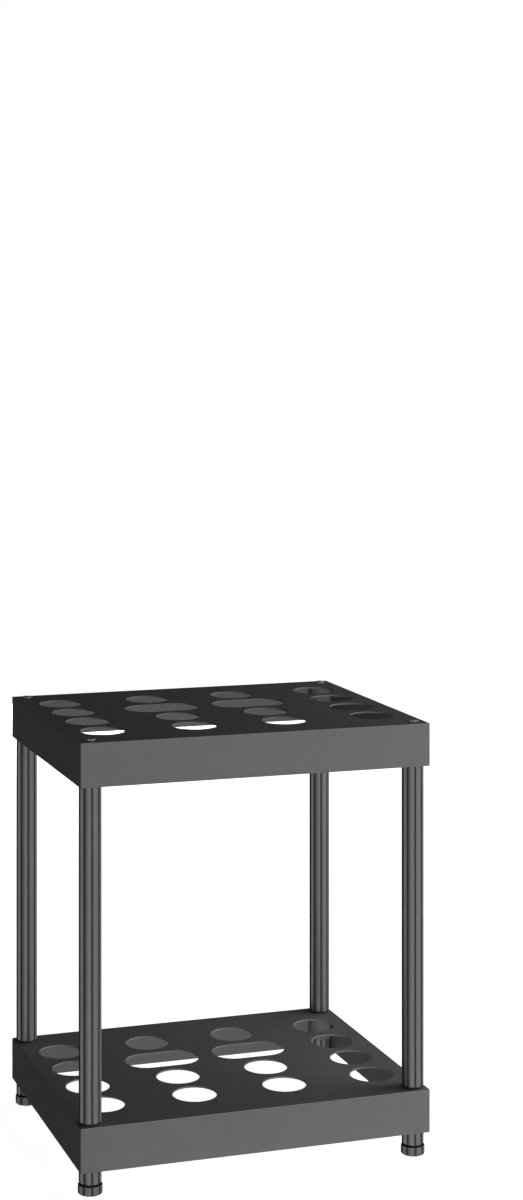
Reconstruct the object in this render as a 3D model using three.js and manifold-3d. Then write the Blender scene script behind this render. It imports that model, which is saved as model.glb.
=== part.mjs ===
// A freestanding rack for long-handled garden tools. Two moulded trays with one
// pattern of holes stand above each other on four fluted posts and short feet.
// Millimetres, +Z up, front towards -Y, origin on the floor below the middle.

import * as THREE from "three";
import { mergeVertices } from "three/addons/utils/BufferGeometryUtils.js";
import Module from "manifold-3d";

const wasm = await Module();
wasm.setup();

// Trays: a thin plate with a deep skirt, open below
const trayWidth = 550;
const trayDepth = 430;
const skirtHeight = 65;
const skirtThickness = 2.5;
const plateThickness = 2.5;
const trayCornerRadius = 3;
const trayEdgeRadius = 1;
const tierSpacing = 557;
const skirtAboveFloor = 36;

// Pattern of holes, the same in both plates
const holeDiameter = 67;
const columnPitch = 144.5;
const rowPitch = 83;
const slotLength = 118;
const columnCount = 4;
const rowCount = 4;
const slotRow = 2;
const slotColumns = [1, 2];

// Posts and feet: one fluted tube section
const postDiameter = 33.6;
const fluteCount = 9;
const grooveDepth = 1.6;
const ridgeFall = 0.6;
const tubeWall = 1.7;
const tubeEndRadius = 1.6;
const grooveDirection = THREE.MathUtils.degToRad(-98);

// Necks, the narrow rings that part a tube from what it stands on
const neckHeight = 2.5;
const neckInset = 0.4;

// Joiners, plugs, pins and caps
const joinerWall = 2.5;
const joinerReach = 32;
const plugLength = 26;
const plugFlange = 2;
const plugWall = 2;
const plugBossRadius = 7;
const pinHeadDiameter = 15;
const pinHeadHeight = 2.5;
const pinLobeDepth = 1;
const pinStemDiameter = 8;
const pinStemLength = 24;
const pinEdge = 0.6;
const capHeight = 13.5;
const capOverhang = 1.3;
const capGrooveDepth = 0.9;
const capEdgeRadius = 4;
const capPlugLength = 14;

// Sockets under the plates that hold the tube ends
const socketThickness = 2;
const socketDepth = 40;

// Clearances: between faces that bear, round a push fit, round a tube
const seatGap = 0.3;
const fitGap = 0.3;
const socketGap = 0.4;
const skirtGap = 0.7;
const cutOverrun = 1;

// Numbers of flat sides on round forms
const holeSides = 24;
const fittingSides = 16;
const socketSides = 20;
const cornerSteps = 2;
const edgeSteps = 2;

// Places across a flute as shares of its width: groove, lip, ridge, ridge, lip
const fluteShares = [0, 0.16, 0.38, 0.62, 0.84];
// The same on a flat-faced lobe: groove, edge, edge
const lobeShares = [0, 0.22, 0.78];

// Radii and heights that follow from the sizes above
const postRadius = postDiameter / 2;
const grooveFloorRadius = postRadius - grooveDepth;
const boreRadius = grooveFloorRadius - tubeWall;
const spigotRadius = boreRadius - fitGap;
const neckRadius = grooveFloorRadius - neckInset;
const capRadius = postRadius + capOverhang;
const socketBore = postRadius + socketGap;
const pinStemRadius = pinStemDiameter / 2;
const pinHoleRadius = pinStemRadius + fitGap;
const postInset = skirtThickness + skirtGap + postRadius;
const lowerTop = skirtAboveFloor + skirtHeight;
const upperTop = lowerTop + tierSpacing;
const footBottom = capHeight + neckHeight;
const footTop = lowerTop - plateThickness - seatGap;
const postBottom = lowerTop + neckHeight + 2 * seatGap;
const plugTop = upperTop - plateThickness - seatGap;
const postTop = plugTop - plugFlange - seatGap;

const trayPlastic = new THREE.MeshStandardMaterial({ color: 0x4a4a4b, roughness: 0.5, metalness: 0 });
const postPlastic = new THREE.MeshStandardMaterial({ color: 0x505051, roughness: 0.45, metalness: 0 });
const capPlastic = new THREE.MeshStandardMaterial({ color: 0x3c3c3d, roughness: 0.6, metalness: 0 });
const fittingPlastic = new THREE.MeshStandardMaterial({ color: 0x2b2b2c, roughness: 0.6, metalness: 0 });

// A closed shape with each shared corner kept once
function welded(geometry) {
  geometry.deleteAttribute("normal");
  geometry.deleteAttribute("uv");
  return mergeVertices(geometry);
}

// Turns a closed shape into a solid that can be cut and joined
function toSolid(geometry) {
  const merged = welded(geometry);
  const vertProperties = new Float32Array(merged.attributes.position.array);
  const triVerts = new Uint32Array(merged.index.array);
  return new wasm.Manifold(new wasm.Mesh({ numProp: 3, vertProperties, triVerts }));
}

function toGeometry(solid) {
  const mesh = solid.getMesh();
  const geometry = new THREE.BufferGeometry();
  geometry.setAttribute("position", new THREE.BufferAttribute(mesh.vertProperties, 3));
  geometry.setIndex(new THREE.BufferAttribute(mesh.triVerts, 1));
  geometry.computeVertexNormals();
  return geometry;
}

// Skins a row of rings that have one point count, and closes its two ends:
// with fans, or by joining the last ring to the first for a tube with a bore
function skinRings(rings, joinsUp) {
  const count = rings[0].length;
  const points = rings.flat();
  const faces = [];
  const spans = joinsUp ? rings.length : rings.length - 1;
  for (let span = 0; span < spans; span++) {
    const low = span * count;
    const high = ((span + 1) % rings.length) * count;
    for (let i = 0; i < count; i++) {
      const next = (i + 1) % count;
      faces.push(low + i, low + next, high + next, low + i, high + next, high + i);
    }
  }
  if (!joinsUp) {
    const top = (rings.length - 1) * count;
    const bottomMiddle = points.push(new THREE.Vector3(0, 0, rings[0][0].z)) - 1;
    const topMiddle = points.push(new THREE.Vector3(0, 0, rings.at(-1)[0].z)) - 1;
    for (let i = 0; i < count; i++) {
      const next = (i + 1) % count;
      faces.push(bottomMiddle, next, i, topMiddle, top + i, top + next);
    }
  }
  const geometry = new THREE.BufferGeometry().setFromPoints(points);
  geometry.setIndex(faces);
  geometry.computeVertexNormals();
  return geometry;
}

// The outline of a fluted section: narrow grooves between wide round ridges.
// Each entry is a direction and the distance from the axis there.
function fluteOutline(crownRadius, depth, fall, shares) {
  const pitch = (2 * Math.PI) / fluteCount;
  const lipShare = 0.5 - shares[1];
  const outline = [];
  for (let flute = 0; flute < fluteCount; flute++) {
    for (const share of shares) {
      const offCrown = (share - 0.5) / lipShare;
      const radius = share === 0 ? crownRadius - depth : crownRadius - fall * offCrown ** 2;
      outline.push({ angle: grooveDirection + (flute + share) * pitch, radius });
    }
  }
  return outline;
}

// One ring of an outline at a height, kept within a radius where that is given
function ringOf(outline, z, limit = Infinity) {
  return outline.map(({ angle, radius }) => {
    const reach = Math.min(radius, limit);
    return new THREE.Vector3(reach * Math.cos(angle), reach * Math.sin(angle), z);
  });
}

function roundRing(outline, z, radius) {
  return ringOf(outline.map(({ angle }) => ({ angle, radius })), z);
}

// Points on a round edge that turns from level to upright
function edgePoints(radius, steps) {
  const points = [];
  for (let step = 0; step <= steps; step++) {
    const turn = (step / steps) * 0.5 * Math.PI;
    points.push({ inset: radius * (1 - Math.sin(turn)), rise: radius * (1 - Math.cos(turn)) });
  }
  return points;
}

// A rectangle with round corners, anticlockwise, about the middle
function roundedRectangle(width, depth, radius) {
  const points = [];
  const cornerX = width / 2 - radius;
  const cornerY = depth / 2 - radius;
  const middles = [[cornerX, cornerY], [-cornerX, cornerY], [-cornerX, -cornerY], [cornerX, -cornerY]];
  middles.forEach(([x, y], quarter) => {
    for (let step = 0; step <= cornerSteps; step++) {
      const angle = (quarter + step / cornerSteps) * 0.5 * Math.PI;
      points.push(new THREE.Vector2(x + radius * Math.cos(angle), y + radius * Math.sin(angle)));
    }
  });
  return points;
}

// An outline raised between two heights
function prism(points, low, high) {
  const geometry = new THREE.ExtrudeGeometry(new THREE.Shape(points), {
    depth: high - low,
    bevelEnabled: false,
  });
  geometry.translate(0, 0, low);
  return toSolid(geometry);
}

// A round-ended outline, a circle where it is as long as it is wide
function slotOutline(x, y, length, width) {
  const radius = width / 2;
  const reach = length / 2 - radius;
  const points = [];
  for (let side = 0; side < holeSides; side++) {
    const angle = ((side + 0.5) / holeSides) * 2 * Math.PI;
    const end = Math.cos(angle) > 0 ? reach : -reach;
    points.push(new THREE.Vector2(x + end + radius * Math.cos(angle), y + radius * Math.sin(angle)));
  }
  return points;
}

// A round outline whose flat sides all touch the circle of this radius
function disc(x, y, radius, sides) {
  const points = [];
  const reach = radius / Math.cos(Math.PI / sides);
  for (let side = 0; side < sides; side++) {
    const angle = (side / sides) * 2 * Math.PI;
    points.push(new THREE.Vector2(x + reach * Math.cos(angle), y + reach * Math.sin(angle)));
  }
  return points;
}

const postX = trayWidth / 2 - postInset;
const postY = trayDepth / 2 - postInset;
const corners = [
  { place: "front_left", x: -postX, y: -postY },
  { place: "front_right", x: postX, y: -postY },
  { place: "back_left", x: -postX, y: postY },
  { place: "back_right", x: postX, y: postY },
];

// The tray's outer form, with its upper edge rounded
function trayBlock(top) {
  const radius = trayCornerRadius;
  const ringAt = (z, inset) => {
    const outline = roundedRectangle(trayWidth - 2 * inset, trayDepth - 2 * inset, radius - inset);
    return outline.map((point) => new THREE.Vector3(point.x, point.y, z));
  };
  const edge = edgePoints(trayEdgeRadius, edgeSteps).reverse();
  const rings = edge.map(({ inset, rise }) => ringAt(top - rise, inset));
  return toSolid(skinRings([ringAt(top - skirtHeight, 0), ...rings], false));
}

// A moulded tray: plate, skirt, sockets for the tube ends, holes and slots
function shelf(top, cornerHoleRadius) {
  const plateUnder = top - plateThickness;
  const skirtBottom = top - skirtHeight;
  const innerWidth = trayWidth - 2 * skirtThickness;
  const innerDepth = trayDepth - 2 * skirtThickness;
  const innerRadius = Math.max(trayCornerRadius - skirtThickness, trayEdgeRadius / 2);
  const inside = roundedRectangle(innerWidth, innerDepth, innerRadius);
  let tray = trayBlock(top).subtract(prism(inside, skirtBottom - cutOverrun, plateUnder));
  for (const { x, y } of corners) {
    const socketEnd = plateUnder - socketDepth;
    const collar = disc(x, y, socketBore + socketThickness, socketSides);
    const bore = disc(x, y, socketBore, socketSides);
    const hole = disc(x, y, cornerHoleRadius, fittingSides);
    tray = tray
      .add(prism(collar, socketEnd, plateUnder + plateThickness / 2))
      .subtract(prism(bore, socketEnd - cutOverrun, plateUnder))
      .subtract(prism(hole, plateUnder - cutOverrun, top + cutOverrun));
  }
  for (let column = 0; column < columnCount; column++) {
    for (let row = 0; row < rowCount; row++) {
      const x = (column - (columnCount - 1) / 2) * columnPitch;
      const y = (row - (rowCount - 1) / 2) * rowPitch;
      const isSlot = row === slotRow && slotColumns.includes(column);
      const outline = slotOutline(x, y, isSlot ? slotLength : holeDiameter, holeDiameter);
      tray = tray.subtract(prism(outline, plateUnder - cutOverrun, top + cutOverrun));
    }
  }
  return toGeometry(tray);
}

const tubeOutline = fluteOutline(postRadius, grooveDepth, ridgeFall, fluteShares);
const capOutline = fluteOutline(capRadius, capGrooveDepth, 0, lobeShares);
const pinOutline = fluteOutline(pinHeadDiameter / 2, pinLobeDepth, 0, lobeShares);

// A fluted tube whose ridges end round at the foot of the tube
function flutedTube(low, high) {
  const rings = edgePoints(tubeEndRadius, edgeSteps).map(({ inset, rise }) =>
    ringOf(tubeOutline, low + rise, postRadius - inset));
  rings.push(ringOf(tubeOutline, high));
  rings.push(roundRing(tubeOutline, high, boreRadius));
  rings.push(roundRing(tubeOutline, low, boreRadius));
  return skinRings(rings, true);
}

// The joiner between foot, tray and post: two spigots with a neck between them
function joiner() {
  const neckLow = lowerTop + seatGap;
  const neckHigh = neckLow + neckHeight;
  const low = lowerTop - plateThickness - joinerReach;
  const high = neckHigh + joinerReach;
  const profile = [
    [spigotRadius - joinerWall, low],
    [spigotRadius, low],
    [spigotRadius, neckLow],
    [neckRadius, neckLow],
    [neckRadius, neckHigh],
    [spigotRadius, neckHigh],
    [spigotRadius, high],
    [spigotRadius - joinerWall, high],
  ];
  return turned(profile);
}

// A ring turned about the axis from a closed profile of radius and height
function turned(profile) {
  const points = [...profile, profile[0]].map(([radius, z]) => new THREE.Vector2(radius, z));
  const geometry = new THREE.LatheGeometry(points, fittingSides);
  geometry.rotateX(0.5 * Math.PI);
  const ring = welded(geometry);
  ring.computeVertexNormals();
  return ring;
}

// The plug in a post's top: a flange, an outer wall and a boss for the pin
function postPlug() {
  const flangeLow = plugTop - plugFlange;
  const low = plugTop - plugLength;
  const webLow = flangeLow - plugWall;
  const profile = [
    [pinHoleRadius, low],
    [plugBossRadius, low],
    [plugBossRadius, webLow],
    [spigotRadius - plugWall, webLow],
    [spigotRadius - plugWall, low],
    [spigotRadius, low],
    [spigotRadius, flangeLow],
    [neckRadius, flangeLow],
    [neckRadius, plugTop],
    [pinHoleRadius, plugTop],
  ];
  return turned(profile);
}

// The pin that holds the upper tray down: a scalloped head on a round stem
function shelfPin() {
  const headLow = upperTop + seatGap;
  const headHigh = headLow + pinHeadHeight;
  const stemLow = headLow - pinStemLength;
  const headRadius = pinHeadDiameter / 2;
  return skinRings([
    roundRing(pinOutline, stemLow, pinStemRadius),
    roundRing(pinOutline, headLow, pinStemRadius),
    ringOf(pinOutline, headLow),
    ringOf(pinOutline, headHigh - pinEdge),
    ringOf(pinOutline, headHigh, headRadius - pinLobeDepth - pinEdge),
  ], false);
}

// The foot cap: a wider scalloped cup with a round lower edge, a neck that the
// foot stands on and a plug inside the foot
function footCap() {
  const rings = edgePoints(capEdgeRadius, edgeSteps).map(({ inset, rise }) =>
    ringOf(capOutline.map(({ angle, radius }) => ({ angle, radius: radius - inset })), rise));
  const neckTop = footBottom - seatGap;
  rings.push(ringOf(capOutline, capHeight));
  rings.push(roundRing(capOutline, capHeight, neckRadius));
  rings.push(roundRing(capOutline, neckTop, neckRadius));
  rings.push(roundRing(capOutline, neckTop, spigotRadius));
  rings.push(roundRing(capOutline, neckTop + capPlugLength, spigotRadius));
  return skinRings(rings, false);
}

const rack = new THREE.Group();

function addPiece(parent, name, geometry, material) {
  const mesh = new THREE.Mesh(geometry, material);
  mesh.name = name;
  parent.add(mesh);
}

addPiece(rack, "upper_shelf", shelf(upperTop, pinHoleRadius), trayPlastic);
addPiece(rack, "lower_shelf", shelf(lowerTop, boreRadius), trayPlastic);

for (const { place, x, y } of corners) {
  const corner = new THREE.Group();
  corner.position.set(x, y, 0);
  rack.add(corner);
  addPiece(corner, `post_${place}`, flutedTube(postBottom, postTop), postPlastic);
  addPiece(corner, `post_plug_${place}`, postPlug(), fittingPlastic);
  addPiece(corner, `shelf_pin_${place}`, shelfPin(), fittingPlastic);
  addPiece(corner, `post_joiner_${place}`, joiner(), fittingPlastic);
  addPiece(corner, `foot_${place}`, flutedTube(footBottom, footTop), postPlastic);
  addPiece(corner, `foot_cap_${place}`, footCap(), capPlastic);
}

export default rack;
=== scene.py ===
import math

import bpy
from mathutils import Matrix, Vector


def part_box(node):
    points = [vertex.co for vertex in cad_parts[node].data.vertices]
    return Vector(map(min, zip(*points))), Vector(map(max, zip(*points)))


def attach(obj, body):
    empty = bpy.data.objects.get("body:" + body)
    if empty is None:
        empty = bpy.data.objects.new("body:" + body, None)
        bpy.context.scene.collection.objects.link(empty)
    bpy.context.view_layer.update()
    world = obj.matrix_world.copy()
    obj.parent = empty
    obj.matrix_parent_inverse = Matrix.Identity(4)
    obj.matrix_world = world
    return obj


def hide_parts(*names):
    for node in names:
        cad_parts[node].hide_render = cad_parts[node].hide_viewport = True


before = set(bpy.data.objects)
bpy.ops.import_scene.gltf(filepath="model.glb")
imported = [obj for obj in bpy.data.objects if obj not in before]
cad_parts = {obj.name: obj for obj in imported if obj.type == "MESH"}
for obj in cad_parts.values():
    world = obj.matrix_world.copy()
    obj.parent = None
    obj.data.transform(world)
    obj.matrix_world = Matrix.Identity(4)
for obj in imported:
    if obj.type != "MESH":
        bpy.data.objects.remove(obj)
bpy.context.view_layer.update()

# A freestanding rack of dark moulded plastic. Two trays with one pattern of
# holes stand above each other on four fluted posts and four capped feet.
# Named sizes are in millimetres. Meshes are in metres, in the CAD's frame.

MM = 0.001
# Points closer than this are merged
MERGE_DISTANCE = 0.002
LOWER_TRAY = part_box("lower_shelf")
UPPER_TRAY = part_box("upper_shelf")

# Trays
TRAY_WIDTH = (UPPER_TRAY[1].x - UPPER_TRAY[0].x) / MM
TRAY_DEPTH = (UPPER_TRAY[1].y - UPPER_TRAY[0].y) / MM
SKIRT_HEIGHT = (UPPER_TRAY[1].z - UPPER_TRAY[0].z) / MM
WALL = 2.5
PLAN_RADIUS = 1.8
INNER_PLAN_RADIUS = 1.5
TOP_EDGE_RADIUS = 0.9
HEM_RADIUS = 0.6
ROOT_RADIUS = 1.5
CORNER_STEPS = 6
EDGE_STEPS = 5
HEM_STEPS = 3

# Pattern of holes
COLUMNS = 4
ROWS = 4
COLUMN_PITCH = 144.5
ROW_PITCH = 83.0
HOLE_RADIUS = 33.5
SLOT_LENGTH = 118.0
RIM_RADIUS = 0.8
UNDER_RIM_RADIUS = 0.5
# The rounding of a rim stops short of the plate's face by eight degrees
RIM_STOP = 98
UNDER_RIM_START = 262
RIM_STEPS = 5
UNDER_RIM_STEPS = 3
RIM_FLARE = 1.0
HOLE_SIDES = 112
CUT_OVERRUN = 4.0
CUT_CLEAR = 0.2

# Sockets for the tube ends under the plates
POST_X = 255.0
POST_Y = 195.0
SOCKET_BORE = 17.2
SOCKET_WALL = 2.0
SOCKET_DEPTH = 40.0
SOCKET_LEAD = 0.7
SOCKET_LEAD_LENGTH = 2.0
SOCKET_LEAD_START = 0.1
SOCKET_CHAMFER = 0.5
SOCKET_SIDES = 96
PIN_HOLE = 4.3
SPIGOT_HOLE = 13.5
CORNER_HOLE_CHAMFER = 0.5
CORNER_HOLE_CHAMFER_DEPTH = 0.3

# Fluted posts and feet
CREST = 16.8
GROOVE_FLOOR = 15.2
BORE = 13.5
FLUTES = 9
RIDGE_FALL = 0.25
# Shares of a flute's pitch that the ridge takes, and of a groove's half that
# its wall takes
RIDGE_SHARE = 0.67
WALL_SHARE = 0.45
GROOVE_START = math.radians(-98)
TUBE_END_RADIUS = 1.6
RIDGE_TIP_RADIUS = 2.6
TIP_HEIGHTS = (0.0, 0.05, 0.15, 0.3, 0.5, 0.75, 1.0, 1.3, 1.6, 2.0, 2.6)
TUBE_CHAMFER = 0.4
FINE_CHAMFER = 0.3
TUBE_SIDES = 324
NECK = 14.8
NECK_HEIGHT = 2.5
SPIGOT = 13.2
JOINER_REACH = 32.0
JOINER_LEAD = 0.8
JOINER_LEAD_LENGTH = 1.2
GAP = 0.3
# A post ends this much further below the plate than its gaps ask
POST_TOP_ROOM = 2.0

# Shares of painted shade, as deep in a groove: under a rim or on a neck, and on a button's top
SHADE = 0.4
TOP_SHADE = 0.09

# Caps and buttons
CAP_HEIGHT = 13.5
CAP_CREST = 18.1
CAP_GROOVE = 1.3
CAP_RIDGE_SHARE = 0.7
CAP_LOWER_RADIUS = 2.4
CAP_LOWER_STEPS = 8
CAP_UPPER_RADIUS = 0.8
CAP_UPPER_STEPS = 4
# How fast a cap's grooves deepen from its underside to its side
CAP_FADE = 0.7
CAP_SHOULDER = 0.8
CAP_PLUG = 14.0
CAP_PLUG_LEAD = 1.0
CAP_SIDES = 252
BUTTON_CREST = 7.5
BUTTON_HEIGHT = 2.5
BUTTON_GROOVE = 1.0
BUTTON_RIDGE_SHARE = 0.6
BUTTON_EDGE = 0.6
BUTTON_EDGE_STEPS = 5
BUTTON_TOP_INSET = 0.4
# The head's lower edge stands back by the undercut between its low and its high
# height, and is full again at the end height
UNDERCUT_INSET = 0.2
UNDERCUT = 0.3
UNDERCUT_LOW = 0.1
UNDERCUT_HIGH = 0.35
UNDERCUT_END = 0.45
BUTTON_STEM = 4.0
BUTTON_STEM_LENGTH = 24.0
BUTTON_STEM_LEAD = 0.8
BUTTON_SIDES = 162

LOWER_TOP = LOWER_TRAY[1].z / MM
UPPER_TOP = UPPER_TRAY[1].z / MM
# Where each post stands, and the degrees that it is turned in its sockets
CORNERS = {
    "front_left": (-POST_X, -POST_Y, 1.9),
    "front_right": (POST_X, -POST_Y, -3.2),
    "back_left": (-POST_X, POST_Y, 3.5),
    "back_right": (POST_X, POST_Y, -2.6),
}


# Node trees

def add(tree, kind, inputs=None, **settings):
    """Adds a node with its options, and gives its inputs values or links."""
    node = tree.nodes.new(kind)
    for option, value in settings.items():
        setattr(node, option, value)
    for name, value in (inputs or {}).items():
        socket = node.inputs[name]
        if isinstance(value, bpy.types.NodeSocket):
            tree.links.new(value, socket)
        else:
            socket.default_value = value
    return node


def calc(tree, operation, *values, clamp=False):
    """Adds a Math node and returns its result."""
    inputs = dict(enumerate(values))
    node = add(tree, "ShaderNodeMath", inputs, operation=operation, use_clamp=clamp)
    return node.outputs[0]


def new_group(name, kind, inputs, outputs):
    """Makes a node group with named sockets; returns it, its inputs and its end."""
    tree = bpy.data.node_groups.new(name, kind)
    for socket, socket_type in inputs:
        tree.interface.new_socket(socket, in_out="INPUT", socket_type=socket_type)
    for socket, socket_type in outputs:
        tree.interface.new_socket(socket, in_out="OUTPUT", socket_type=socket_type)
    start = tree.nodes.new("NodeGroupInput")
    end = tree.nodes.new("NodeGroupOutput")
    return tree, start.outputs, end.inputs


def finish_mesh(tree, shape, sharp_angle, material, end):
    """Shades a shape smooth with sharp corners, and gives it its material."""
    smooth = add(tree, "GeometryNodeSetShadeSmooth", {"Geometry": shape}, domain="FACE")
    angle = add(tree, "GeometryNodeInputMeshEdgeAngle").outputs["Unsigned Angle"]
    corner = add(tree, "FunctionNodeCompare", {0: angle, 1: sharp_angle}, operation="GREATER_THAN")
    sharp = add(tree, "GeometryNodeSetShadeSmooth", {
        "Geometry": smooth.outputs[0],
        "Selection": corner.outputs[0],
        "Shade Smooth": False,
    }, domain="EDGE")
    real = add(tree, "GeometryNodeRealizeInstances", {"Geometry": sharp.outputs[0]})
    finished = add(tree, "GeometryNodeSetMaterial", {
        "Geometry": real.outputs[0],
        "Material": material,
    })
    tree.links.new(finished.outputs[0], end[0])


def turning_tree():
    """Geometry Nodes that turn a section about Z and press flutes into it.

    The section is a row of points, radius along X and height along Z, with the
    attributes groove_share, ridge_share and shade_share.
    """
    tree, put, end = new_group("Fluted turning", "GeometryNodeTree", [
        ("Section", "NodeSocketGeometry"),
        ("Sides", "NodeSocketInt"),
        ("Flutes", "NodeSocketInt"),
        ("Groove depth", "NodeSocketFloat"),
        ("Ridge fall", "NodeSocketFloat"),
        ("Ridge share", "NodeSocketFloat"),
        ("Wall share", "NodeSocketFloat"),
        ("First groove", "NodeSocketFloat"),
        ("Stretch", "NodeSocketFloat"),
        ("Sharp angle", "NodeSocketFloat"),
        ("Finish", "NodeSocketMaterial"),
    ], [("Turned", "NodeSocketGeometry")])
    section = put["Section"]
    size = add(tree, "GeometryNodeAttributeDomainSize", {"Geometry": section})
    rows = size.outputs["Point Count"]
    columns = calc(tree, "ADD", put["Sides"], 1)
    grid = add(tree, "GeometryNodeMeshGrid", {"Vertices X": columns, "Vertices Y": rows})
    index = add(tree, "GeometryNodeInputIndex").outputs[0]
    column = calc(tree, "FLOOR", calc(tree, "DIVIDE", index, rows))
    row = calc(tree, "MODULO", index, rows)

    def along_section(value, data_type):
        """Reads a value from the section's point of this row."""
        return add(tree, "GeometryNodeSampleIndex", {
            "Geometry": section,
            "Value": value,
            "Index": row,
        }, data_type=data_type).outputs[0]

    def share(name):
        """Reads a named share from the section."""
        stored = add(tree, "GeometryNodeInputNamedAttribute", {"Name": name}, data_type="FLOAT")
        return along_section(stored.outputs[0], "FLOAT")

    position = add(tree, "GeometryNodeInputPosition").outputs[0]
    point = add(tree, "ShaderNodeSeparateXYZ", {0: along_section(position, "FLOAT_VECTOR")})

    turn = calc(tree, "DIVIDE", column, put["Sides"])
    angle = calc(tree, "MULTIPLY_ADD", turn, 2 * math.pi, put["First groove"])
    flute = calc(tree, "FRACT", calc(tree, "MULTIPLY", turn, put["Flutes"]))
    centred = calc(tree, "ABSOLUTE", calc(tree, "SUBTRACT", flute, 0.5))
    off_ridge = calc(tree, "MULTIPLY", centred, 2.0)

    crown = calc(tree, "MINIMUM", calc(tree, "DIVIDE", off_ridge, put["Ridge share"]), 1.0)
    fall = calc(tree, "MULTIPLY", calc(tree, "POWER", crown, 2.0), put["Ridge fall"])
    ridge = calc(tree, "MULTIPLY", put["Ridge share"], share("ridge_share"))
    side = calc(tree, "SUBTRACT", off_ridge, ridge)
    side_width = calc(tree, "SUBTRACT", 1.0, put["Ridge share"])
    inward = calc(tree, "DIVIDE", side, side_width, clamp=True)
    down = calc(tree, "DIVIDE", inward, put["Wall share"], clamp=True)
    swing = calc(tree, "COSINE", calc(tree, "MULTIPLY", down, math.pi))
    press = calc(tree, "MULTIPLY_ADD", swing, -0.5, 0.5)
    groove = calc(tree, "MULTIPLY", press, calc(tree, "SUBTRACT", put["Groove depth"], fall))
    dip = calc(tree, "MULTIPLY", calc(tree, "ADD", fall, groove), share("groove_share"))
    radius = calc(tree, "SUBTRACT", point.outputs[0], dip)

    across = calc(tree, "COSINE", angle)
    slide = calc(tree, "MULTIPLY", calc(tree, "SIGN", across), put["Stretch"])
    x = calc(tree, "MULTIPLY_ADD", radius, across, slide)
    y = calc(tree, "MULTIPLY", radius, calc(tree, "SINE", angle))
    place = add(tree, "ShaderNodeCombineXYZ", {0: x, 1: y, 2: point.outputs[2]})
    bent = add(tree, "GeometryNodeSetPosition", {
        "Geometry": grid.outputs[0],
        "Position": place.outputs[0],
    })
    # The mask of painted shade: how far a point lies into a groove, or the section's own shade
    # share where that is larger
    pressed = calc(tree, "MULTIPLY", inward, share("groove_share"))
    marked = add(tree, "GeometryNodeStoreNamedAttribute", {
        "Geometry": bent.outputs[0],
        "Name": "in_groove",
        "Value": calc(tree, "MAXIMUM", pressed, share("shade_share")),
    }, data_type="FLOAT", domain="POINT")
    closed = add(tree, "GeometryNodeMergeByDistance", {
        "Geometry": marked.outputs[0],
        "Distance": MERGE_DISTANCE * MM,
    })
    finish_mesh(tree, closed.outputs[0], put["Sharp angle"], put["Finish"], end)
    return tree


def perforating_tree():
    """Geometry Nodes that give a tray its sockets, its holes and its slots."""
    tree, put, end = new_group("Hole pattern", "GeometryNodeTree", [
        ("Tray", "NodeSocketGeometry"),
        ("Plate height", "NodeSocketFloat"),
        ("Columns", "NodeSocketInt"),
        ("Rows", "NodeSocketInt"),
        ("Column pitch", "NodeSocketFloat"),
        ("Row pitch", "NodeSocketFloat"),
        ("Post spacing X", "NodeSocketFloat"),
        ("Post spacing Y", "NodeSocketFloat"),
        ("Round cutter", "NodeSocketObject"),
        ("Slot cutter", "NodeSocketObject"),
        ("Collar", "NodeSocketObject"),
        ("Collar cutter", "NodeSocketObject"),
        ("Sharp angle", "NodeSocketFloat"),
        ("Finish", "NodeSocketMaterial"),
    ], [("Perforated", "NodeSocketGeometry")])
    lift = add(tree, "ShaderNodeCombineXYZ", {2: put["Plate height"]}).outputs[0]

    def spaced(columns, rows, width, depth):
        """A level grid of points at the height of the plate."""
        grid = add(tree, "GeometryNodeMeshGrid", {
            "Size X": width,
            "Size Y": depth,
            "Vertices X": columns,
            "Vertices Y": rows,
        })
        return add(tree, "GeometryNodeTransform", {
            "Geometry": grid.outputs[0],
            "Translation": lift,
        }).outputs[0]

    def set_out(points, piece, where=None):
        """Copies a piece to the points."""
        shape = add(tree, "GeometryNodeObjectInfo", {"Object": piece}).outputs["Geometry"]
        inputs = {"Points": points, "Instance": shape}
        if where is not None:
            inputs["Selection"] = where
        copies = add(tree, "GeometryNodeInstanceOnPoints", inputs).outputs[0]
        return add(tree, "GeometryNodeRealizeInstances", {"Geometry": copies}).outputs[0]

    width = calc(tree, "MULTIPLY", calc(tree, "SUBTRACT", put["Columns"], 1), put["Column pitch"])
    depth = calc(tree, "MULTIPLY", calc(tree, "SUBTRACT", put["Rows"], 1), put["Row pitch"])
    holes = spaced(put["Columns"], put["Rows"], width, depth)
    posts = spaced(2, 2, put["Post spacing X"], put["Post spacing Y"])

    # The two slots are the middle columns of the first row behind the middle
    position = add(tree, "GeometryNodeInputPosition").outputs[0]
    point = add(tree, "ShaderNodeSeparateXYZ", {0: position})
    off_middle = calc(tree, "ABSOLUTE", point.outputs[0])
    sideways = calc(tree, "LESS_THAN", off_middle, put["Column pitch"])
    behind = calc(tree, "GREATER_THAN", point.outputs[1], 0.0)
    near = calc(tree, "LESS_THAN", point.outputs[1], put["Row pitch"])
    is_slot = calc(tree, "MULTIPLY", sideways, calc(tree, "MULTIPLY", behind, near))
    is_round = calc(tree, "SUBTRACT", 1.0, is_slot)

    joined = add(tree, "GeometryNodeMeshBoolean", operation="UNION", solver="MANIFOLD")
    tree.links.new(put["Tray"], joined.inputs["Mesh 2"])
    tree.links.new(set_out(posts, put["Collar"]), joined.inputs["Mesh 2"])
    cut = add(tree, "GeometryNodeMeshBoolean", operation="DIFFERENCE", solver="MANIFOLD")
    tree.links.new(joined.outputs[0], cut.inputs["Mesh 1"])
    for cutters in (
        set_out(holes, put["Round cutter"], is_round),
        set_out(holes, put["Slot cutter"], is_slot),
        set_out(posts, put["Collar cutter"]),
    ):
        tree.links.new(cutters, cut.inputs["Mesh 2"])
    clean = add(tree, "GeometryNodeMergeByDistance", {
        "Geometry": cut.outputs[0],
        "Distance": MERGE_DISTANCE * MM,
    })
    finish_mesh(tree, clean.outputs[0], put["Sharp angle"], put["Finish"], end)
    return tree


# Plastics

LINES_PER_METRE = 260.0
LINE_STRETCH = 0.012
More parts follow.
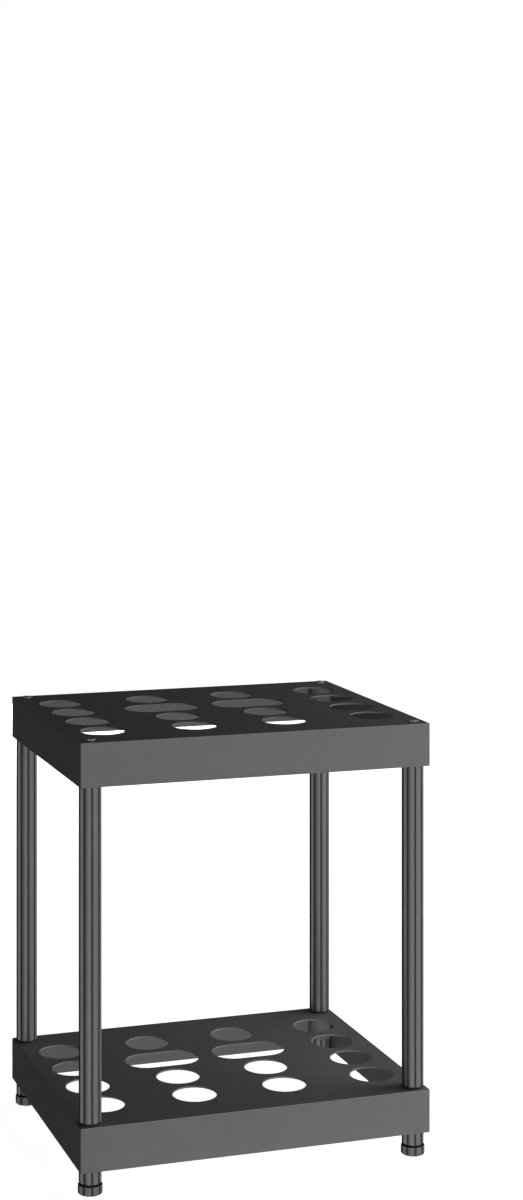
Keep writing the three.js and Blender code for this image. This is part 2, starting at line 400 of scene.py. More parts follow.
# Shares of a plastic's colour: in its darkest and lightest marks, on its
# rounded edges (wear and a painted highlight), and deep in a groove (painted shade)
DARK_MARK = 0.9
LIGHT_MARK = 1.1
EDGE_LIGHT = 1.7
GROOVE_PAINTED_SHADE = 0.05
# The painted shade on a groove's wall darkens by this slope, and past the wall
# the painted shade falls over this width to this share
GROOVE_RISE = 8.0
GROOVE_FLOOR_WIDTH = 0.25
GROOVE_FLOOR_SHARE = 0.45
# Shares of the fine grain and the flow marks in the tone, and of the flow marks
# in the relief
GRAIN_TONE = 0.35
FLOW_TONE = 0.65
FLOW_RELIEF = 0.4
# Contrast of the drawn lines, and their shares in the tone and the relief
LINE_CONTRAST = 1.6
LINE_SHIFT = -0.3
LINE_TONE = 0.4
LINE_RELIEF = 0.5
# Between these tones the roughness goes from a little under to a little over
TONE_LOW = 0.3
TONE_HIGH = 0.7
SMOOTHER = 0.04
ROUGHER = 0.05
RELIEF = 0.35
PLASTIC_IOR = 1.49
COAT_IOR = 1.7


def vary(tree, factor, first, second):
    """Mixes two colours by a mask."""
    node = add(tree, "ShaderNodeMix", {0: factor, 6: first, 7: second}, data_type="RGBA")
    return node.outputs[2]


def moulded_grain():
    """Shader group: the fine grain and the slow flow marks of moulded plastic."""
    tree, put, end = new_group("Moulded grain", "ShaderNodeTree", [
        ("Vector", "NodeSocketVector"),
        ("Grain per metre", "NodeSocketFloat"),
        ("Flow per metre", "NodeSocketFloat"),
    ], [
        ("Height", "NodeSocketFloat"),
        ("Tone", "NodeSocketFloat"),
    ])
    fine = add(tree, "ShaderNodeTexNoise", {
        "Vector": put["Vector"],
        "Scale": put["Grain per metre"],
        "Detail": 3.0,
        "Roughness": 0.6,
    }).outputs[0]
    flow = add(tree, "ShaderNodeTexNoise", {
        "Vector": put["Vector"],
        "Scale": put["Flow per metre"],
        "Detail": 4.0,
        "Roughness": 0.55,
        "Distortion": 0.8,
    }).outputs[0]
    flow_tone = calc(tree, "MULTIPLY", flow, FLOW_TONE)
    tone = calc(tree, "MULTIPLY_ADD", fine, GRAIN_TONE, flow_tone)
    tree.links.new(calc(tree, "MULTIPLY_ADD", flow, FLOW_RELIEF, fine), end["Height"])
    tree.links.new(tone, end["Tone"])
    return tree


def rounded_edges():
    """Shader group: a mask of the rounded edges between level tops and upright sides."""
    tree, put, end = new_group("Rounded edges", "ShaderNodeTree", [
        ("Amount", "NodeSocketFloat"),
    ], [
        ("Mask", "NodeSocketFloat"),
    ])
    facing = add(tree, "ShaderNodeNewGeometry").outputs["Normal"]
    part = add(tree, "ShaderNodeSeparateXYZ", {0: facing}).outputs
    up = calc(tree, "POWER", part[2], 2.0)
    level = calc(tree, "SUBTRACT", 1.0, up)
    edge = calc(tree, "MULTIPLY", calc(tree, "MULTIPLY", up, level), 4.0)
    above = calc(tree, "GREATER_THAN", part[2], 0.0)
    mask = calc(tree, "MULTIPLY", calc(tree, "MULTIPLY", edge, above), put["Amount"], clamp=True)
    tree.links.new(mask, end["Mask"])
    return tree


def drawn_lines():
    """Shader group: long faint lines that extrusion leaves along a tube."""
    tree, put, end = new_group("Drawn lines", "ShaderNodeTree", [
        ("Vector", "NodeSocketVector"),
        ("Lines per metre", "NodeSocketFloat"),
    ], [
        ("Height", "NodeSocketFloat"),
        ("Tone", "NodeSocketFloat"),
    ])
    drawn = add(tree, "ShaderNodeMapping", {
        "Vector": put["Vector"],
        "Scale": (1.0, 1.0, LINE_STRETCH),
    })
    lines = add(tree, "ShaderNodeTexNoise", {
        "Vector": drawn.outputs[0],
        "Scale": put["Lines per metre"],
        "Detail": 2.0,
        "Roughness": 0.5,
    }).outputs[0]
    tree.links.new(lines, end["Height"])
    tone = calc(tree, "MULTIPLY_ADD", lines, LINE_CONTRAST, LINE_SHIFT, clamp=True)
    tree.links.new(tone, end["Tone"])
    return tree


MOULDED_GRAIN = moulded_grain()
ROUNDED_EDGES = rounded_edges()
DRAWN_LINES = drawn_lines()


def plastic(name, colour, roughness, grain, flow, edge, bump,
            groove=0.0, drawn=False, shine=0.15, coat=0.0):
    """A matte plastic with grain, flow marks and upper rounded edges lighter by wear and a painted
    highlight.

    Grain and flow are counts per metre and bump is a height in millimetres.
    A groove value paints shade into the flutes and the other shaded places that
    the turned mesh marks, and keeps the coat off them, and drawn adds the lines of an extruded
    tube.
    """
    material = bpy.data.materials.new(name)
    material.use_nodes = True
    tree = material.node_tree
    tree.nodes.clear()
    place = add(tree, "ShaderNodeTexCoord").outputs["Object"]
    marks = add(tree, "ShaderNodeGroup", node_tree=MOULDED_GRAIN)
    tree.links.new(place, marks.inputs["Vector"])
    marks.inputs["Grain per metre"].default_value = grain
    marks.inputs["Flow per metre"].default_value = flow
    tone = marks.outputs["Tone"]
    height = marks.outputs["Height"]
    if drawn:
        lines = add(tree, "ShaderNodeGroup", node_tree=DRAWN_LINES)
        tree.links.new(place, lines.inputs["Vector"])
        lines.inputs["Lines per metre"].default_value = LINES_PER_METRE
        moulded = calc(tree, "MULTIPLY", tone, 1 - LINE_TONE)
        tone = calc(tree, "MULTIPLY_ADD", lines.outputs["Tone"], LINE_TONE, moulded)
        height = calc(tree, "MULTIPLY_ADD", lines.outputs["Height"], LINE_RELIEF, height)
    worn_and_highlit_edge = add(tree, "ShaderNodeGroup", node_tree=ROUNDED_EDGES)
    worn_and_highlit_edge.inputs["Amount"].default_value = edge

    def shade(factor):
        """The plastic's colour, lighter or darker."""
        return (*(channel * factor for channel in colour), 1.0)

    body = vary(tree, tone, shade(DARK_MARK), shade(LIGHT_MARK))
    # Upper rounded edges get lighter: partly wear, partly a painted highlight
    lit = vary(tree, worn_and_highlit_edge.outputs["Mask"], body, shade(EDGE_LIGHT))
    # Painted shade: darkest on the grooves' walls, lighter on their floors, and also under rims,
    # on necks and on a button's top
    if groove:
        inward = add(tree, "ShaderNodeAttribute", attribute_name="in_groove").outputs["Fac"]
        wall = calc(tree, "MULTIPLY", inward, GROOVE_RISE, clamp=True)
        floor = add(tree, "ShaderNodeMapRange", {
            "Value": inward,
            "From Min": WALL_SHARE,
            "From Max": WALL_SHARE + GROOVE_FLOOR_WIDTH,
            "To Min": 1.0,
            "To Max": GROOVE_FLOOR_SHARE,
        }).outputs[0]
        dark = calc(tree, "MULTIPLY", calc(tree, "MULTIPLY", wall, floor), groove, clamp=True)
        lit = vary(tree, dark, lit, shade(GROOVE_PAINTED_SHADE))
        if coat:
            coat = calc(tree, "MULTIPLY", calc(tree, "SUBTRACT", 1.0, dark), coat)
    gloss = add(tree, "ShaderNodeMapRange", {
        "Value": tone,
        "From Min": TONE_LOW,
        "From Max": TONE_HIGH,
        "To Min": roughness - SMOOTHER,
        "To Max": roughness + ROUGHER,
    })
    relief = add(tree, "ShaderNodeBump", {
        "Height": height,
        "Strength": RELIEF,
        "Distance": bump * MM,
    })
    surface = add(tree, "ShaderNodeBsdfPrincipled", {
        "Base Color": lit,
        "Roughness": gloss.outputs[0],
        "IOR": PLASTIC_IOR,
        "Specular IOR Level": shine,
        "Coat Weight": coat,
        "Coat Roughness": roughness,
        "Coat IOR": COAT_IOR,
        "Normal": relief.outputs[0],
    })
    output = add(tree, "ShaderNodeOutputMaterial")
    tree.links.new(surface.outputs[0], output.inputs["Surface"])
    return material


TRAY_GREY = (0.130, 0.130, 0.131)
POST_GREY = (0.122, 0.122, 0.123)
CAP_GREY = (0.118, 0.118, 0.119)
BUTTON_GREY = (0.300, 0.300, 0.303)
RING_BLACK = (0.016, 0.016, 0.017)
TRAY_PLASTIC = plastic("tray_polypropylene", TRAY_GREY, 0.46, 1500.0, 26.0, 1.0, 0.05)
POST_PLASTIC = plastic("post_polypropylene", POST_GREY, 0.30, 1800.0, 30.0, 0.3, 0.03,
                       groove=0.95, drawn=True, shine=0.0, coat=1.0)
CAP_PLASTIC = plastic("cap_soft_plastic", CAP_GREY, 0.36, 1400.0, 40.0, 0.5, 0.05,
                      groove=0.95, shine=0.0, coat=0.7)
BUTTON_PLASTIC = plastic("button_plastic", BUTTON_GREY, 0.40, 1800.0, 60.0, 1.0, 0.03,
                         groove=0.8)
RING_PLASTIC = plastic("ring_black_plastic", RING_BLACK, 0.5, 1600.0, 50.0, 0.3, 0.03)


# Meshes

TURNING = turning_tree()
PERFORATING = perforating_tree()
SHARP_ANGLE = math.radians(38)


def arc(middle, height, radius, start, stop, steps, **shares):
    """Points of a rounded edge in a section, angles in degrees from outwards."""
    points = []
    for step in range(steps + 1):
        angle = math.radians(start + (stop - start) * step / steps)
        across = middle + radius * math.cos(angle)
        points.append((across, height + radius * math.sin(angle), shares))
    return points


def set_inputs(modifier, values):
    """Sets a Geometry Nodes modifier's inputs by their identifiers."""
    for item in modifier.node_group.interface.items_tree:
        if item.item_type == "SOCKET" and item.in_out == "INPUT" and item.name in values:
            modifier[item.identifier] = values[item.name]


def made_plain(piece):
    """Replaces a piece's modifiers by the mesh that they make."""
    graph = bpy.context.evaluated_depsgraph_get()
    shape = piece.evaluated_get(graph)
    mesh = bpy.data.meshes.new_from_object(shape, preserve_all_data_layers=True, depsgraph=graph)
    piece.modifiers.clear()
    piece.data = mesh
    return piece


def weigh_normals(piece):
    """Lets the large faces keep their direction next to fine rounded edges."""
    modifier = piece.modifiers.new("Face weights", "WEIGHTED_NORMAL")
    modifier.keep_sharp = True
    modifier.weight = 60


def new_object(name, mesh):
    """Adds an object with this mesh to the scene."""
    piece = bpy.data.objects.new(name, mesh)
    bpy.context.scene.collection.objects.link(piece)
    return piece


def turned(name, section, sides, finish, **form):
    """A piece turned from a section of (radius, height, shares) points, in millimetres."""
    mesh = bpy.data.meshes.new(name)
    mesh.from_pydata([(radius * MM, 0.0, height * MM) for radius, height, _ in section], [], [])
    for share, plain in (("groove", 0.0), ("ridge", 1.0), ("shade", 0.0)):
        values = [shares.get(share, plain) for _, _, shares in section]
        mesh.attributes.new(f"{share}_share", "FLOAT", "POINT").data.foreach_set("value", values)
    piece = new_object(name, mesh)
    modifier = piece.modifiers.new("Turning", "NODES")
    modifier.node_group = TURNING
    set_inputs(modifier, {
        "Sides": sides,
        "Flutes": FLUTES,
        "Groove depth": form.get("groove", 0.0) * MM,
        "Ridge fall": form.get("fall", 0.0) * MM,
        "Ridge share": form.get("ridge", RIDGE_SHARE),
        "Wall share": form.get("wall", WALL_SHARE),
        "First groove": form.get("start", GROOVE_START),
        "Stretch": form.get("stretch", 0.0) * MM,
        "Sharp angle": SHARP_ANGLE,
        "Finish": finish,
    })
    weigh_normals(piece)
    return made_plain(piece)


def rounding_inset(distance, radius):
    """How far a rounded edge stands back at this distance from its end."""
    left = max(radius - distance, 0.0)
    return radius - math.sqrt(radius ** 2 - left ** 2)


def tube_section(low, high):
    """A fluted tube: ridges with rounded tips at its foot, and a bore."""
    depth = CREST - GROOVE_FLOOR
    half_ridge = RIDGE_SHARE * math.pi * CREST / FLUTES
    section = [
        (BORE, low + TUBE_CHAMFER, {}),
        (BORE + TUBE_CHAMFER, low, {}),
        (GROOVE_FLOOR - FINE_CHAMFER, low, {}),
    ]
    for distance in TIP_HEIGHTS:
        inset = rounding_inset(distance, TUBE_END_RADIUS)
        narrowing = rounding_inset(distance, RIDGE_TIP_RADIUS)
        section.append((CREST - inset, low + distance, {
            "groove": 1.0 - inset / depth,
            "ridge": 1.0 - narrowing / half_ridge,
        }))
    section.extend([
        (CREST, high - TUBE_CHAMFER, {"groove": 1.0}),
        (CREST - TUBE_CHAMFER, high, {"groove": 1.0 - TUBE_CHAMFER / depth}),
        (BORE + FINE_CHAMFER, high, {}),
        (BORE, high - FINE_CHAMFER, {}),
        section[0],
    ])
    return section


def cap_section():
    """A foot cap: rounded scalloped cup, neck and plug, closed at both ends."""
    section = [(0.0, 0.0, {})]
    middle = CAP_CREST - CAP_LOWER_RADIUS
    for step in range(CAP_LOWER_STEPS + 1):
        turn = math.radians(90 * step / CAP_LOWER_STEPS)
        section.append((
            middle + CAP_LOWER_RADIUS * math.sin(turn),
            CAP_LOWER_RADIUS * (1 - math.cos(turn)),
            {"groove": math.sin(turn) ** CAP_FADE},
        ))
    rim = CAP_CREST - CAP_UPPER_RADIUS
    rim_low = CAP_HEIGHT - CAP_UPPER_RADIUS
    section.extend(arc(rim, rim_low, CAP_UPPER_RADIUS, 0, 90, CAP_UPPER_STEPS, groove=1.0))
    neck_top = CAP_HEIGHT + NECK_HEIGHT - GAP
    plug_top = neck_top + CAP_PLUG
    # Painted shade on the neck between the cap and the foot
    section.extend([
        (NECK + CAP_SHOULDER, CAP_HEIGHT, {"shade": SHADE}),
        (NECK, CAP_HEIGHT + FINE_CHAMFER, {"shade": SHADE}),
        (NECK, neck_top, {"shade": SHADE}),
        (SPIGOT, neck_top, {}),
        (SPIGOT, plug_top - CAP_PLUG_LEAD, {}),
        (SPIGOT - CAP_PLUG_LEAD, plug_top, {}),
        (0.0, plug_top, {}),
    ])
    return section


def joiner_section():
    """The joiner: two hollow spigots with a neck between them."""
    inner = SPIGOT - WALL
    neck_low = LOWER_TOP + GAP
    neck_high = neck_low + NECK_HEIGHT
    low = LOWER_TOP - WALL - JOINER_REACH
    high = neck_high + JOINER_REACH
    return [
        (inner, low, {}),
        (SPIGOT - JOINER_LEAD, low, {}),
        (SPIGOT, low + JOINER_LEAD_LENGTH, {}),
        (SPIGOT, neck_low, {}),
        (NECK - FINE_CHAMFER, neck_low, {}),
        (NECK, neck_low + FINE_CHAMFER, {}),
        (NECK, neck_high - FINE_CHAMFER, {}),
        (NECK - FINE_CHAMFER, neck_high, {}),
        (SPIGOT, neck_high, {}),
        (SPIGOT, high - JOINER_LEAD_LENGTH, {}),
        (SPIGOT - JOINER_LEAD, high, {}),
        (inner, high, {}),
        (inner, low, {}),
    ]


def button_section():
    """The button over a post: a scalloped head on a round stem."""
    head_low = UPPER_TOP + GAP
    head_high = head_low + BUTTON_HEIGHT
    stem_low = head_low - BUTTON_STEM_LENGTH
    rim = BUTTON_CREST - BUTTON_EDGE
    rim_low = head_high - BUTTON_EDGE
    # A painted shadow line under the head's rim and on the stem just below it
    painted_shadow_line = {"groove": 1.0, "shade": SHADE}
    section = [
        (0.0, stem_low, {}),
        (BUTTON_STEM - BUTTON_STEM_LEAD, stem_low, {}),
        (BUTTON_STEM, stem_low + BUTTON_STEM_LEAD, {}),
        (BUTTON_STEM, head_low, {"shade": SHADE}),
        (rim - UNDERCUT_INSET, head_low, painted_shadow_line),
        (BUTTON_CREST - UNDERCUT, head_low + UNDERCUT_LOW, painted_shadow_line),
        (BUTTON_CREST - UNDERCUT, head_low + UNDERCUT_HIGH, painted_shadow_line),
        (BUTTON_CREST, head_low + UNDERCUT_END, {"groove": 1.0}),
    ]
    section.extend(arc(rim, rim_low, BUTTON_EDGE, 0, 90, BUTTON_EDGE_STEPS, groove=1.0))
    section.extend([
        # The button's top is painted darker than its light-grey lit side, as shade
        (rim - BUTTON_GROOVE - BUTTON_TOP_INSET, head_high, {"shade": TOP_SHADE}),
        (0.0, head_high, {"shade": TOP_SHADE}),
    ])
    return section


def hole_cutter(name, stretch):
    """A cutter that leaves a hole with both its rims rounded; heights from the plate's top."""
    middle = HOLE_RADIUS + RIM_RADIUS
    upper = arc(middle, -RIM_RADIUS, RIM_RADIUS, 180, RIM_STOP, RIM_STEPS)
    lower = arc(
        HOLE_RADIUS + UNDER_RIM_RADIUS,
        -WALL + UNDER_RIM_RADIUS,
        UNDER_RIM_RADIUS,
        UNDER_RIM_START,
        180,
        UNDER_RIM_STEPS,
    )
    flare = middle + RIM_FLARE
    under_flare = HOLE_RADIUS + UNDER_RIM_RADIUS + RIM_FLARE
    section = [
        (0.0, -WALL - CUT_OVERRUN, {}),
        (under_flare, -WALL - CUT_OVERRUN, {}),
        (under_flare, -WALL - CUT_CLEAR, {}),
        *lower,
        *upper,
        (flare, CUT_CLEAR, {}),
        (flare, CUT_OVERRUN, {}),
        (0.0, CUT_OVERRUN, {}),
    ]
    half_step = math.pi / HOLE_SIDES
    return turned(name, section, HOLE_SIDES, TRAY_PLASTIC, start=half_step, stretch=stretch)


def collar(name):
    """The ring of a socket; heights from the plate's top."""
    outer = SOCKET_BORE + SOCKET_WALL
    end = -WALL - SOCKET_DEPTH
    section = [
        (0.0, end, {}),
        (outer - SOCKET_CHAMFER, end, {}),
        (outer, end + SOCKET_CHAMFER, {}),
        (outer, -WALL / 2, {}),
        (0.0, -WALL / 2, {}),
    ]
    return turned(name, section, SOCKET_SIDES, TRAY_PLASTIC)


def collar_cutter(name, hole):
    """The space in a socket and the hole above it; heights from the plate's top."""
    end = -WALL - SOCKET_DEPTH
    chamfered = hole + CORNER_HOLE_CHAMFER
    section = [
        (0.0, end - CUT_OVERRUN, {}),
        (SOCKET_BORE + SOCKET_LEAD, end - CUT_OVERRUN, {}),
        (SOCKET_BORE + SOCKET_LEAD, end - SOCKET_LEAD_START, {}),
        (SOCKET_BORE, end + SOCKET_LEAD_LENGTH, {}),
        (SOCKET_BORE, -WALL, {}),
        (hole, -WALL, {}),
        (hole, -CORNER_HOLE_CHAMFER_DEPTH, {}),
        (chamfered, CUT_CLEAR, {}),
        (chamfered, CUT_OVERRUN, {}),
        (0.0, CUT_OVERRUN, {}),
    ]
    return turned(name, section, SOCKET_SIDES, TRAY_PLASTIC)


def rounded_rectangle(inset, radius, height):
    """A ring of points, anticlockwise, this far inside the tray's outer faces."""
    points = []
    reach_x = TRAY_WIDTH / 2 - inset - radius
    reach_y = TRAY_DEPTH / 2 - inset - radius
    corners = (
        (reach_x, reach_y),
        (-reach_x, reach_y),
        (-reach_x, -reach_y),
        (reach_x, -reach_y),
    )
    for quarter, (x, y) in enumerate(corners):
        for step in range(CORNER_STEPS + 1):
            angle = (quarter + step / CORNER_STEPS) * math.pi / 2
            across = x + radius * math.cos(angle)
            along = y + radius * math.sin(angle)
            points.append(Vector((across, along, height)) * MM)
    return points


def tray_body(name, top):
    """The closed skin of a tray before its holes: plate, skirt, hem and inner faces."""
    under = top - WALL
    bottom = top - SKIRT_HEIGHT
    profile = []
    for step in range(EDGE_STEPS + 1):
        turn = math.radians(90 * step / EDGE_STEPS)
        inset = TOP_EDGE_RADIUS * (1 - math.sin(turn))
        profile.append((inset, top - TOP_EDGE_RADIUS * (1 - math.cos(turn))))
    for step in range(HEM_STEPS + 1):
        turn = math.radians(90 * step / HEM_STEPS)
        inset = HEM_RADIUS * (1 - math.cos(turn))
        profile.append((inset, bottom + HEM_RADIUS * (1 - math.sin(turn))))
    for step in range(HEM_STEPS + 1):
        turn = math.radians(90 * step / HEM_STEPS)
        inset = WALL - HEM_RADIUS * (1 - math.sin(turn))
        profile.append((inset, bottom + HEM_RADIUS * (1 - math.cos(turn))))
    for step in range(EDGE_STEPS + 1):
        turn = math.radians(90 * step / EDGE_STEPS)
        inset = WALL + ROOT_RADIUS * (1 - math.cos(turn))
        profile.append((inset, under - ROOT_RADIUS * (1 - math.sin(turn))))
    points = []
    for inset, height in profile:
        radius = max(PLAN_RADIUS - inset, INNER_PLAN_RADIUS)
        points.extend(rounded_rectangle(inset, radius, height))
    count = 4 * (CORNER_STEPS + 1)
    faces = [list(range(count))]
    for ring in range(len(profile) - 1):
        upper = ring * count
        lower = upper + count
        for i in range(count):
            j = (i + 1) % count
            faces.append([upper + i, lower + i, lower + j, upper + j])
    last = (len(profile) - 1) * count
    faces.append([last + i for i in reversed(range(count))])
    mesh = bpy.data.meshes.new(name)
    mesh.from_pydata(points, [], faces)
    return new_object(name, mesh)


def tray(name, top, corner_hole, round_cutter, slot_cutter, socket):
    """A moulded tray with its holes, slots and sockets."""
    piece = tray_body(name, top)
    cutter = collar_cutter("collar_cutter", corner_hole)
    modifier = piece.modifiers.new("Hole pattern", "NODES")
    modifier.node_group = PERFORATING
    set_inputs(modifier, {
        "Plate height": top * MM,
        "Columns": COLUMNS,
        "Rows": ROWS,
        "Column pitch": COLUMN_PITCH * MM,
        "Row pitch": ROW_PITCH * MM,
        "Post spacing X": 2 * POST_X * MM,
        "Post spacing Y": 2 * POST_Y * MM,
        "Round cutter": round_cutter,
        "Slot cutter": slot_cutter,
        "Collar": socket,
        "Collar cutter": cutter,
        "Sharp angle": SHARP_ANGLE,
        "Finish": TRAY_PLASTIC,
    })
    weigh_normals(piece)
    made_plain(piece)
    bpy.data.objects.remove(cutter)
    return piece


def make_trays():
    """Both trays, from one set of cutters."""
    round_cutter = hole_cutter("round_cutter", 0.0)
    slot_cutter = hole_cutter("slot_cutter", SLOT_LENGTH / 2 - HOLE_RADIUS)
    socket = collar("collar")
    tools = (round_cutter, slot_cutter, socket)
    for name, node, top, hole in (
        ("upper_tray", "upper_shelf", UPPER_TOP, PIN_HOLE),
        ("lower_tray", "lower_shelf", LOWER_TOP, SPIGOT_HOLE),
    ):
        piece = tray(name, top, hole, *tools)
        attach(piece, "root")
        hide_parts(node)
    for tool in tools:
        bpy.data.objects.remove(tool)


def at_corners(pattern, node):
    """Sets a copy of a turned piece over each corner's CAD node."""
    for corner, (x, y, turn) in CORNERS.items():
        mesh = pattern.data.copy()
        place = Matrix.Translation((x * MM, y * MM, 0.0))
        mesh.transform(place @ Matrix.Rotation(math.radians(turn), 4, "Z"))
        piece = new_object(f"{pattern.name}_{corner}", mesh)
        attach(piece, "root")
        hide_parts(f"{node}_{corner}")
    bpy.data.objects.remove(pattern)


def make_corner_pieces():
    """Posts, feet, caps, buttons and joiners."""
    foot_low = CAP_HEIGHT + NECK_HEIGHT
    foot_high = LOWER_TOP - WALL - GAP
    post_low = LOWER_TOP + NECK_HEIGHT + 2 * GAP
    post_high = UPPER_TOP - WALL - 2 * GAP - POST_TOP_ROOM
    tube = {"groove": CREST - GROOVE_FLOOR, "fall": RIDGE_FALL}
    post_tube = tube_section(post_low, post_high)
    post = turned("fluted_post", post_tube, TUBE_SIDES, POST_PLASTIC, **tube)
    at_corners(post, "post")
    foot_tube = tube_section(foot_low, foot_high)
    foot = turned("fluted_foot", foot_tube, TUBE_SIDES, POST_PLASTIC, **tube)
    at_corners(foot, "foot")
    cap = turned("scalloped_cap", cap_section(), CAP_SIDES, CAP_PLASTIC,
                 groove=CAP_GROOVE, ridge=CAP_RIDGE_SHARE)
    at_corners(cap, "foot_cap")
    button = turned("scalloped_button", button_section(), BUTTON_SIDES, BUTTON_PLASTIC,
                    groove=BUTTON_GROOVE, ridge=BUTTON_RIDGE_SHARE)
    at_corners(button, "shelf_pin")
    joiner = turned("joiner", joiner_section(), SOCKET_SIDES, RING_PLASTIC)
    at_corners(joiner, "post_joiner")


def finish_plugs():
    """The plugs keep their CAD shape and get the black plastic."""
    for corner in CORNERS:
        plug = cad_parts[f"post_plug_{corner}"]
        plug.data.materials.clear()
        plug.data.materials.append(RING_PLASTIC)


make_trays()
make_corner_pieces()
finish_plugs()


# Floor, world, lights and camera

FLOOR_REACH = 30.0
FLOOR_GREY = (0.7, 0.7, 0.7, 1.0)
WHITE = (1.0, 1.0, 1.0, 1.0)
BLACK = (0.0, 0.0, 0.0, 1.0)
# The floor's white is slightly lower near the rack, where its shadow lies
NEAR_WHITE = 0.92
NEAR_DISTANCE = 0.6
FAR_DISTANCE = 2.0

# What glossy rays see around the rack: (azimuth in degrees, brightness), 0 in
# front and -90 at the left, for rays that fall and for rays that rise
FALLING_WALLS = (
    (-180, 0.0),
    (-139, 0.0),
    (-118, 0.72),
    (-96, 0.35),
    (-70, 0.06),
    (-20, 0.46),
    (12, 0.22),
    (60, 0.06),
    (118, 0.06),
    (140, 0.0),
    (180, 0.0),
)
RISING_WALLS = (
    (-180, 0.0),
    (-140, 0.0),
    (-90, 0.12),
    (0, 0.12),
    (90, 0.05),
    (136, 0.05),
    (148, 0.12),
    (160, 0.0),
    (180, 0.0),
)
STUDIO_STRENGTH = 3.0
DIM_STRENGTH = 0.01
# The falling walls blend into the rising ones around the level, and the rising
# ones fade in from a tenth of a unit above it
LEVEL_BLEND = 10.0
RISING_BLEND = 3.5
RISING_START = 0.1

# Name, azimuth and elevation in degrees, distance and size in metres, strength,
# and whether it casts shadows
LAMPS = (
    ("key", 8.0, 3.0, 4.0, 1.6, 0.33, True),
    ("front_fill", 18.0, -7.0, 4.0, 1.2, 0.53, False),
    ("near_right", 75.0, 19.0, 1.0, 0.6, 0.45, True),
    ("right_panel", 90.0, 0.0, 4.0, 1.2, 0.28, True),
    ("back_fill", 176.0, -4.0, 4.0, 1.2, 0.60, False),
    ("left_fill", -90.0, 1.5, 4.0, 1.2, 0.032, True),
    ("overhead", 100.0, 60.0, 4.0, 2.0, 0.115, True),
    ("floor_glow", 0.0, -90.0, 0.34, 0.5, 0.24, True),
)
LAMP_TARGET = Vector((0.0, 0.0, 0.35))


def make_floor():
    """A floor that the camera sees white, save where the rack's shadow falls."""
    mesh = bpy.data.meshes.new("floor")
    corners = [
        (-FLOOR_REACH, -FLOOR_REACH, 0.0),
        (FLOOR_REACH, -FLOOR_REACH, 0.0),
        (FLOOR_REACH, FLOOR_REACH, 0.0),
        (-FLOOR_REACH, FLOOR_REACH, 0.0),
    ]
    mesh.from_pydata(corners, [], [(0, 1, 2, 3)])
    floor = new_object("floor", mesh)
    material = bpy.data.materials.new("white_floor")
    material.use_nodes = True
    tree = material.node_tree
    tree.nodes.clear()
    path = add(tree, "ShaderNodeLightPath").outputs
    seen = calc(tree, "MAXIMUM", path["Is Camera Ray"], path["Is Transmission Ray"])
    place = add(tree, "ShaderNodeTexCoord").outputs["Object"]
    length = add(tree, "ShaderNodeVectorMath", {0: place}, operation="LENGTH")
    white_level = add(tree, "ShaderNodeMapRange", {
        "Value": length.outputs["Value"],
        "From Min": NEAR_DISTANCE,
        "From Max": FAR_DISTANCE,
        "To Min": NEAR_WHITE,
        "To Max": 1.0,
    }).outputs[0]
    glow = calc(tree, "MULTIPLY", seen, white_level)
    matte = add(tree, "ShaderNodeBsdfDiffuse", {"Color": FLOOR_GREY})
    white = add(tree, "ShaderNodeEmission", {"Color": WHITE, "Strength": glow})
    both = add(tree, "ShaderNodeAddShader", {0: matte.outputs[0], 1: white.outputs[0]})
    output = add(tree, "ShaderNodeOutputMaterial")
    tree.links.new(both.outputs[0], output.inputs["Surface"])
    mesh.materials.append(material)
    floor.visible_glossy = False


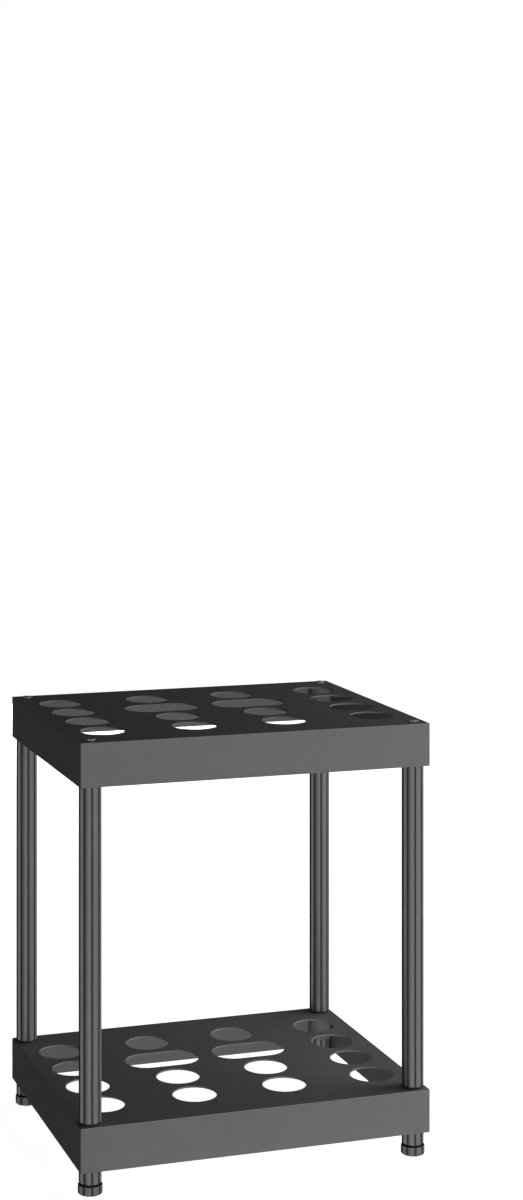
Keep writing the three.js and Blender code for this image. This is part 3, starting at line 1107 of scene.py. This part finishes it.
def make_world():
    """White for the camera, grey walls for glossy rays, and dim for the rest.

    The walls are brightest in front and behind the left side, and dark straight
    behind the rack.
    """
    world = bpy.data.worlds.new("studio")
    bpy.context.scene.world = world
    world.use_nodes = True
    tree = world.node_tree
    tree.nodes.clear()
    path = add(tree, "ShaderNodeLightPath").outputs
    direction = add(tree, "ShaderNodeTexCoord").outputs["Generated"]
    part = add(tree, "ShaderNodeSeparateXYZ", {0: direction}).outputs
    backward = calc(tree, "MULTIPLY", part[1], -1.0)
    azimuth = calc(tree, "ARCTAN2", part[0], backward)
    around = calc(tree, "MULTIPLY_ADD", azimuth, 0.5 / math.pi, 0.5)

    def walls(stops):
        """The brightness of the walls by azimuth."""
        node = add(tree, "ShaderNodeValToRGB", {0: around})
        ramp = node.color_ramp
        while len(ramp.elements) > 1:
            ramp.elements.remove(ramp.elements[-1])
        for place, (angle, level) in enumerate(stops):
            spot = 0.5 + angle / 360
            stop = ramp.elements[0] if place == 0 else ramp.elements.new(spot)
            stop.position = spot
            stop.color = (level, level, level, 1.0)
        return node.outputs[0]

    def background(colour, strength):
        """A plain background."""
        inputs = {"Color": colour, "Strength": strength}
        return add(tree, "ShaderNodeBackground", inputs).outputs[0]

    rising = calc(tree, "MULTIPLY_ADD", part[2], LEVEL_BLEND, 0.5, clamp=True)
    fade = -RISING_BLEND * RISING_START
    height = calc(tree, "MULTIPLY_ADD", part[2], RISING_BLEND, fade, clamp=True)
    upper = vary(tree, height, BLACK, walls(RISING_WALLS))
    studio = vary(tree, rising, walls(FALLING_WALLS), upper)
    glossy = add(tree, "ShaderNodeMixShader", {
        0: path["Is Glossy Ray"],
        1: background(WHITE, DIM_STRENGTH),
        2: background(studio, STUDIO_STRENGTH),
    })
    seen = calc(tree, "MAXIMUM", path["Is Camera Ray"], path["Is Transmission Ray"])
    mixed = add(tree, "ShaderNodeMixShader", {
        0: seen,
        1: glossy.outputs[0],
        2: background(WHITE, 1.0),
    })
    output = add(tree, "ShaderNodeOutputWorld")
    tree.links.new(mixed.outputs[0], output.inputs["Surface"])


def make_lamp(name, azimuth, elevation, distance, size, strength, casts):
    """A soft square lamp that shines on the rack's middle and is itself unseen.

    Azimuth 0 is in front, and strength is what a white face turned to it shows.
    """
    lamp = bpy.data.lights.new(name, "AREA")
    lamp.shape = "SQUARE"
    lamp.size = size
    lamp.energy = strength * (math.pi * distance) ** 2
    lamp.use_shadow = casts
    light = bpy.data.objects.new(name, lamp)
    light.visible_glossy = False
    light.visible_camera = False
    bpy.context.scene.collection.objects.link(light)
    turn = math.radians(azimuth)
    rise = math.radians(elevation)
    level = math.cos(rise)
    away = Vector((math.sin(turn) * level, -math.cos(turn) * level, math.sin(rise)))
    light.location = LAMP_TARGET + away * distance
    light.rotation_euler = (-away).to_track_quat("-Z", "Y").to_euler()


def make_camera():
    """The photograph's viewpoint: a level camera in front and to the left."""
    lens = bpy.data.cameras.new("camera")
    lens.sensor_width = 36.0
    lens.lens = 65.125
    lens.shift_x = 0.07017
    lens.shift_y = -0.21909
    camera = bpy.data.objects.new("camera", lens)
    camera.location = (-1.0907, -3.2444, 1.2449)
    camera.rotation_euler = (math.pi / 2, 0.0, -0.30758)
    bpy.context.scene.collection.objects.link(camera)
    bpy.context.scene.camera = camera


make_floor()
make_world()
for lamp in LAMPS:
    make_lamp(*lamp)
make_camera()

view = bpy.context.scene.view_settings
view.view_transform = "Standard"
